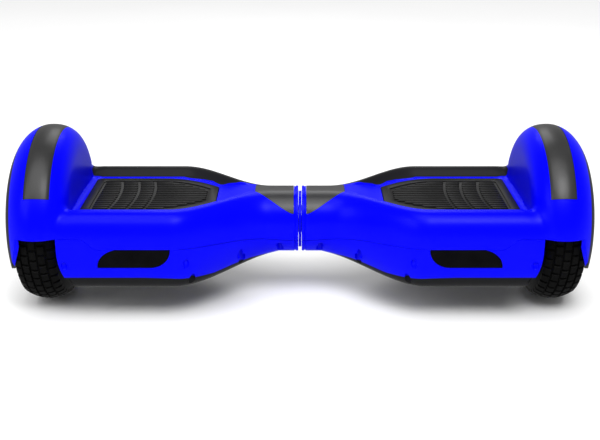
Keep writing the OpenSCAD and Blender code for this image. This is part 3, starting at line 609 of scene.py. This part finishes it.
# ---- Lower covers
# The matching lower mouldings, held up by self-tapping screws from below through deep pockets.
# They hold the lamps in front and the button and charging port behind.
SCREW_PLACES = [20, 59, 106, WELL_X + 1.2]
SCREW_INSET, BOSS_INSET, BOSS_R, POCKET_R = 10.2, 9, 6.4, 3.5
FACE_DIMPLES = [(21, -21.5, 3.6), (60, -26, 7), (109.5, -19, 5.8), (226.5, -19.5, 5)]
DIMPLE_WIDE, DIMPLE_DEEP, DIMPLE_OUT = 3.4, 3.1, 0.9
PARTING_GAP, LOWER_END = 0.45, WELL_X + 9
AXLE_R = 8.8
PORT_X, PORT_Z, BUTTON_R, CHARGE_R = WELL_X - 70, -14, 8.3, 8.1
HEADLIGHT_X, HEADLIGHT_LEN, HEADLIGHT_Z, HEADLIGHT_H = 124.5, 70, -2.2, 19
LEAF_OUTER, LEAF_INNER = 22, 20


def headlight_edges(u):
    """Upper and lower height of the leaf-shaped lamp at a place along it, from its inner end."""
    outer, inner = max(0, (u - HEADLIGHT_LEN) / LEAF_OUTER + 1), max(0, 1 - u / LEAF_INNER)
    top = HEADLIGHT_Z - HEADLIGHT_H * (1 - math.sqrt(1 - outer ** 2))
    return top, HEADLIGHT_Z - HEADLIGHT_H * math.sqrt(1 - inner ** 2)


def face_depth(x, z, inset):
    """Distance of the lower half's face from the middle plane at a height."""
    power, y_flat = roundness(x), mix(NECK_FLAT, BELLY_FLAT, widening(x))
    fall = min(0.999, max(0, (waist_at(x) - z) / (waist_at(x) + belly_at(x) - inset)))
    return y_flat + (depth_at(x) - inset - y_flat) * (1 - fall ** power) ** (1 / power)


LAMP_STEPS = [LEAF_INNER * (1 - math.cos(math.radians(a))) for a in range(6, 91, 6)]
LAMP_STEPS += [24, 28, 32, 36, 40, 44]
LAMP_STEPS += [HEADLIGHT_LEN - LEAF_OUTER + LEAF_OUTER * math.sin(math.radians(a)) for a in range(0, 85, 6)]


def lower_cover_outline(inset):
    """Front view of the lower cover, whose outer bottom corner is rounded to clear the tyre."""
    start = BODY_START + inset if inset > 0 else -3
    out = [(start, 40), (LOWER_END - inset, 40)]
    for i in range(13):
        a = math.radians(7.5 * i)
        out.append((LOWER_END - 21.5 + (21.5 - inset) * math.cos(a), -4.5 - (46 - inset) * math.sin(a)))
    return out + [(start, inset - BELLY_Z - (0 if inset else 3))]


def pocket_outline(x, y, s):
    """A screw pocket seen from below: round, and a little longer towards the face."""
    inner = [(x + POCKET_R * math.cos(math.radians(a)), y + s * POCKET_R * math.sin(math.radians(a)))
             for a in range(180, 361, 15)]
    return inner + [(x + POCKET_R * math.cos(math.radians(a)),
                     y + s * 0.8 + s * POCKET_R * math.sin(math.radians(a))) for a in range(0, 181, 15)]


lower_cover = body_solid("lower_cover_right", BODY_START, BODY_END)
cut(lower_cover, block("end_shape", lower_cover_outline(0), -120, 120, "y"), "INTERSECT")
cut(lower_cover, above_parting("above", PARTING_GAP))
hollow = body_solid("hollow", BODY_START + SHELL_T, BODY_END - 3, SHELL_T, SHELL_T)
cut(hollow, block("end_shape", lower_cover_outline(SHELL_T), -120, 120, "y"), "INTERSECT")
for x in SCREW_PLACES:
    for s in (-1, 1):
        cut(hollow, rod("boss", -60, -4, BOSS_R, (x, s * (depth_at(x) - BOSS_INSET)), "z"))
cut(lower_cover, hollow)
for x in SCREW_PLACES:
    for s in (-1, 1):
        outline = pocket_outline(x, s * (depth_at(x) - SCREW_INSET), s)
        cut(lower_cover, block("pocket", outline, -60, -6, "z"))
for x, z, tall in FACE_DIMPLES:
    for s in (-1, 1):
        bpy.ops.object.select_all(action="DESELECT")
        bpy.ops.mesh.primitive_uv_sphere_add(segments=24, ring_count=16, radius=1)
        dimple = bpy.context.object
        dimple.data.transform(Matrix.Translation(place((x, s * (face_depth(x, z, 0) + DIMPLE_OUT), z)))
                              @ Matrix.Diagonal((DIMPLE_WIDE * MM, DIMPLE_DEEP * MM, tall * MM, 1)))
        cut(lower_cover, dimple)
lamp_hole = []
for u in LAMP_STEPS:
    top, low = headlight_edges(u)
    x = HEADLIGHT_X + u * (1 + 2 * DROP_FIT / HEADLIGHT_LEN) - DROP_FIT
    low, top = low - DROP_FIT, top + DROP_FIT
    lamp_hole.append([(x, -40, low), (x, -40, top), (x, -FAR, top), (x, -FAR, low)])
cut(lower_cover, wrapped("lamp_place", lamp_hole))
cut(lower_cover, rod("neck_bore", 0, 6, NECK_BORE, (0, -PIVOT_DROP), "x"))
axle_slot = [(-AXLE_R, 20), (-AXLE_R, 0)] + [
    (AXLE_R * math.cos(math.radians(a)), AXLE_R * math.sin(math.radians(a))) for a in range(195, 360, 15)
] + [(AXLE_R, 0), (AXLE_R, 20)]
cut(lower_cover, block("axle_slot", axle_slot, WELL_X + 4.5, 245, "x"))
lower_left = lower_cover.copy()
lower_left.data = lower_cover.data.copy()
scene.collection.objects.link(lower_left)
for piece, hole, side in ((lower_cover, BUTTON_R, "right"), (lower_left, CHARGE_R, "left")):
    cut(piece, rod("port", 70, FAR, hole, (PORT_X, PORT_Z), "y"))
    smooth_by_angle(piece, 35)
    coat_with(piece, paint)
    piece.name = piece.data.name = "lower_cover_" + side
lower_left.data.transform(Matrix.Scale(-1, 4, (1, 0, 0)))
lower_left.data.flip_normals()
for side, piece in (("right", lower_cover), ("left", lower_left)):
    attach(piece, side + "_half")
    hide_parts("bottom_cover_" + side)

# ---- Bumper strips
# Soft black strips let into the crown of each dome, where the board first meets a wall.
# Moulded from a satin thermoplastic rubber and glued into their groove, with softened edges.
satin_black, _, _ = moulded("satin_black", (0.010, 0.010, 0.010), (0.024, 0.024, 0.024), 0.34,
                            grain_size=700, depth=0.25, bump=0.0001, cloud=30, dusty=0.01, specular=0.28)
strip = strip_ring("bumper_strip", 0, -0.05, STRIP_T - 0.1, 0.5)
smooth_by_angle(strip, 40)
coat_with(strip, satin_black)
for side, one in both_sides(strip, "soft_bumper_strip", "SIDE_half"):
    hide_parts("bumper_strip_" + side)

# ---- Foot mats
# Ribbed rubber mats that the rider stands on; each floats on posts over two pressure switches.
# Moulded with a raised border, long ribs along the board, and short bars near the wheel.
rubber, _, _ = moulded("mat_rubber", (0.003, 0.003, 0.003), (0.010, 0.010, 0.010), 0.38, grain_size=1200,
                       depth=0.3, bump=0.0001, cloud=40, dusty=0.004, specular=0.12)
MAT_Z, MAT_TOP, MAT_BORDER, MAT_EDGE = 20.6, 24.0, 8.5, 0.0005
RIB_STEP, RIB_COUNT, RIB_HALF, RIB_RISE = 5.9, 7, 1.9, 0.1
CHANNELS, CHANNEL_HALF, CHANNEL_BEND = [157, 174, 192], 1.3, 7


def edge_rounded(piece, width):
    modifier = piece.modifiers.new("round", "BEVEL")
    modifier.width, modifier.segments, modifier.limit_method = width, 2, "ANGLE"
    modifier.angle_limit = math.radians(40)
    bpy.ops.object.select_all(action="DESELECT")
    piece.select_set(True)
    bpy.context.view_layer.objects.active = piece
    bpy.ops.object.modifier_apply(modifier=modifier.name)
    return piece


def joined(pieces, name):
    bpy.ops.object.select_all(action="DESELECT")
    for p in pieces:
        p.select_set(True)
    bpy.context.view_layer.objects.active = pieces[0]
    bpy.ops.object.join()
    pieces[0].name = pieces[0].data.name = name
    return pieces[0]


mat = block("mat", mat_outline(0), MAT_Z, MAT_TOP, "z")
cut(mat, block("tray", mat_outline(MAT_BORDER), MAT_TOP - 1.2, 60, "z"))
edge_rounded(mat, MAT_EDGE)


def bar(x0, x1, y, half):
    """One rib of the mat, with rounded ends and a softened top."""
    outline = [(x0 + half - half * math.cos(a), y + half * math.sin(a)) for a in np.linspace(-1.2, 1.2, 4)]
    outline += [(x1 - half + half * math.cos(a), y + half * math.sin(a)) for a in np.linspace(1.2, -1.2, 4)]
    inner = [(x + (0.5 if x < (x0 + x1) / 2 else -0.5), y + (yy - y) * 0.68) for x, yy in outline]
    z0, z1 = MAT_TOP - 1.3, MAT_TOP + RIB_RISE
    return wrapped("bar", [[(x, yy, z0) for x, yy in outline], [(x, yy, z1 - 0.45) for x, yy in outline],
                           [(x, yy, z1) for x, yy in inner]])


bars = []
for i in range(-RIB_COUNT, RIB_COUNT + 1):
    y = RIB_STEP * i
    tip = max(0, ((abs(y) + 10) / MAT_HALF_W - MAT_TIP) / (1 - MAT_TIP))
    start = MAT_START + MAT_TAPER * (1 - math.sqrt(1 - tip)) + 10.5
    bend = CHANNEL_BEND * (1 - (y / MAT_HALF_W) ** 2)
    stops = [start] + [c - bend for c in CHANNELS] + [MAT_END - 11]
    for k in range(len(stops) - 1):
        a = stops[k] + (CHANNEL_HALF if k else 0)
        b = stops[k + 1] - (CHANNEL_HALF if k < len(stops) - 2 else 0)
        if b - a > 4:
            bars.append(bar(a, b, y, RIB_HALF))
mat = joined([mat] + bars, "mat")
smooth_by_angle(mat, 40)
coat_with(mat, rubber)
for side, one in both_sides(mat, "ribbed_mat", "SIDE_mat"):
    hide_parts("foot_mat_" + side)

# ---- Headlights and indicators
# Polycarbonate windows over rows of diodes: smoked leaves in front and frosted arrows on the neck.
# They are snapped into the covers from inside and lie flush with the paint.
LENS_T = 2.4
smoked, _, _ = moulded("smoked_window", (0.001, 0.001, 0.0012), (0.004, 0.004, 0.005), 0.16,
                       grain_size=500, depth=0.02, bump=0.00002, cloud=70, dusty=0.0, specular=0.05)
frosted, _, _ = moulded("frosted_window", (0.008, 0.008, 0.009), (0.024, 0.024, 0.026), 0.34,
                        grain_size=500, depth=0.1, bump=0.00005, cloud=30, dusty=0.0, specular=0.35)
rings = []
for u in LAMP_STEPS:
    top, low = headlight_edges(u)
    x, heights = HEADLIGHT_X + u, [mix(low, top, j / 16) for j in range(17)]
    outer = [(x, -face_depth(x, z, 0.05), z) for z in heights]
    inner = [(x, -face_depth(x, z, LENS_T), z) for z in reversed(heights)]
    rings.append(outer + inner)
headlight = smooth_by_angle(wrapped("headlight", rings), 40)
coat_with(headlight, smoked)
for side, one in both_sides(headlight, "headlight_window", "SIDE_half"):
    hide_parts("headlight_lens_" + side)
indicator = smooth_by_angle(neck_patch("indicator", 0, 0.0, LENS_T - 0.2), 40)
coat_with(indicator, frosted)
for side, one in both_sides(indicator, "indicator_window", "SIDE_half"):
    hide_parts("indicator_lens_" + side)

# ---- Tyres
# Solid rubber tyres pressed on the motors' rims, with five staggered rows of small square blocks.
# The blocks stand on a crowned carcass, and the side walls are smooth.
tread_rubber, _, _ = moulded("tread_rubber", (0.0012, 0.0012, 0.0012), (0.005, 0.005, 0.005), 0.55,
                             grain_size=1500, depth=0.5, bump=0.00015, cloud=60, dusty=0.006, specular=0.06)
WHEEL_X, TYRE_R, RIM_R = 258, 84, 62
CROWN_FALL, GROOVE_D = 4.6, 2.3
ROW_COUNT, ROW_STEP = 46, 8.2
# A block's half width, half length and depth under the tread, from its foot to its softened top.
BLOCK_LEVELS = [(3.5, 4.5, 3.0), (3.3, 4.3, 0.45), (2.9, 3.9, 0)]
# Its outline as shares of the half sizes, with a slight arrow in the running direction.
BLOCK_OUTLINE = [(-1, -1), (0, -1.12), (1, -1), (1, 0), (1, 1), (0, 0.88), (-1, 1), (-1, 0)]


def tread_radius(w):
    return TYRE_R - CROWN_FALL * (w / 17) ** 2


half = [(20, RIM_R), (22.5, 64), (22.5, 67), (21.8, 70.5), (20.6, 73.6), (19, 76.2)]
half += [(w, tread_radius(w) - GROOVE_D) for w in (17.6, 16, 13, 10, 7, 4, 1.5)]
carcass_line = [(WHEEL_X + w, r) for w, r in half] + [(WHEEL_X - w, r) for w, r in reversed(half)]
tyre = spun("tyre", carcass_line, steps=144)
verts, faces, around = [], [], len(BLOCK_OUTLINE)
for row in range(5):
    for k in range(ROW_COUNT):
        middle = 2 * math.pi * (k + 0.5 * (row % 2)) / ROW_COUNT
        start = len(verts)
        for half_w, half_l, sunk in BLOCK_LEVELS:
            for across, along_it in BLOCK_OUTLINE:
                w = (row - 2) * ROW_STEP + across * half_w
                r, a = tread_radius(w) - sunk, middle + along_it * half_l / TYRE_R
                verts.append(tuple(place((WHEEL_X + w, -r * math.cos(a), r * math.sin(a)))))
        for b in (start, start + around):
            for j in range(around):
                k1 = (j + 1) % around
                faces.append((b + j, b + k1, b + around + k1, b + around + j))
        faces.append(tuple(start + 2 * around + j for j in range(around)))
        faces.append(tuple(start + around - 1 - j for j in range(around)))
tread_mesh = bpy.data.meshes.new("tread")
tread_mesh.from_pydata(verts, [], faces)
tread = bpy.data.objects.new("tread", tread_mesh)
scene.collection.objects.link(tread)
tyre = joined([tyre, tread], "tyre")
bpy.ops.object.mode_set(mode="EDIT")
bpy.ops.mesh.select_all(action="SELECT")
bpy.ops.mesh.normals_make_consistent(inside=False)
bpy.ops.object.mode_set(mode="OBJECT")
smooth_by_angle(tyre, 35)
coat_with(tyre, tread_rubber)
for side, one in both_sides(tyre, "treaded_tyre", "SIDE_wheel"):
    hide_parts("tyre_" + side)

# ---- Finishes of the pieces kept from the design
# Motors, frames, boards, battery, screws and rear fittings keep their shapes and get their real finishes.
# The seal ring between the halves is sprayed with the covers, so it takes their paint.
kept = {
    "blue_shell": paint, "black_plastic": satin_black, "mat_rubber": rubber, "dark_lens": smoked,
    "tyre_rubber": tread_rubber,
    "circuit_board": moulded("solder_mask", (0.004, 0.06, 0.02), (0.008, 0.11, 0.04), 0.3, coat=0.2,
                             cloud=90)[0],
    "steel": moulded("zinc_plated_steel", (0.42, 0.42, 0.44), (0.62, 0.62, 0.64), 0.3, 1, cloud=60)[0],
    "cast_aluminium": moulded("cast_aluminium", (0.42, 0.43, 0.44), (0.6, 0.61, 0.62), 0.45, 1,
                              grain_size=600, depth=0.5, bump=0.0002, cloud=40)[0],
    "cable": moulded("cable_sheath", (0.012, 0.012, 0.012), (0.03, 0.03, 0.03), 0.5)[0],
    "magnet": moulded("nickel_plate", (0.5, 0.49, 0.47), (0.66, 0.65, 0.62), 0.22, 1)[0],
    "copper": moulded("enamelled_copper", (0.45, 0.16, 0.07), (0.62, 0.26, 0.12), 0.3, 0.9,
                      grain_size=400)[0],
    "bronze": moulded("sintered_bronze", (0.42, 0.27, 0.11), (0.55, 0.37, 0.17), 0.4, 1)[0],
    "battery_wrap": moulded("battery_wrap", (0.01, 0.06, 0.22), (0.02, 0.09, 0.3), 0.28, coat=0.3)[0],
}
slot_of = {part["node"]: part["material_slot"] for part in frame["record"]["subparts"]}
for name, node in frame["nodes"].items():
    finish = paint if name == "seal_ring" else kept[slot_of[name]]
    if not node.data.materials:
        node.data.materials.append(finish)
    for node_slot in node.material_slots:
        node_slot.material = finish

# ---- Floor and light
# A pale floor and large soft lamps above and in front.
# Gloss on the board mirrors the even studio light and not the bright floor.
SUN_TILT, SUN_ROLL, SUN_POWER, SUN_SPREAD = math.radians(24), math.radians(-6), 2.1, math.radians(50)
WORLD_POWER = 0.38
bpy.ops.object.select_all(action="DESELECT")
bpy.ops.mesh.primitive_plane_add(size=30, location=(0, 0, -0.0002))
floor = bpy.context.object
floor.name = "floor"
coat_with(floor, moulded("pale_floor", (0.90, 0.90, 0.90), (0.94, 0.94, 0.94), 0.6, grain_size=300,
                         cloud=2, dusty=0)[0])
floor.visible_glossy = False
for name, where, size, power in (("key", (0.35, -1.1, 1.5), 0.7, 16), ("fill", (-1.2, -0.9, 0.9), 0.8, 6),
                                 ("back", (0, 1.2, 1.3), 0.9, 7)):
    bpy.ops.object.select_all(action="DESELECT")
    bpy.ops.object.light_add(type="AREA", location=where)
    lamp = bpy.context.object
    lamp.name = name
    lamp.data.size, lamp.data.energy = size, power
    lamp.rotation_euler = (LOOK_AT - lamp.location).to_track_quat("-Z", "Y").to_euler()
bpy.ops.object.light_add(type="SUN", location=(0, 0, 3), rotation=(SUN_TILT, SUN_ROLL, 0))
sun = bpy.context.object
sun.name = "overhead"
sun.data.energy, sun.data.angle = SUN_POWER, SUN_SPREAD
world = bpy.data.worlds.new("studio")
scene.world = world
world.use_nodes = True
world.node_tree.nodes["Background"].inputs["Color"].default_value = (1, 1, 1, 1)
world.node_tree.nodes["Background"].inputs["Strength"].default_value = WORLD_POWER
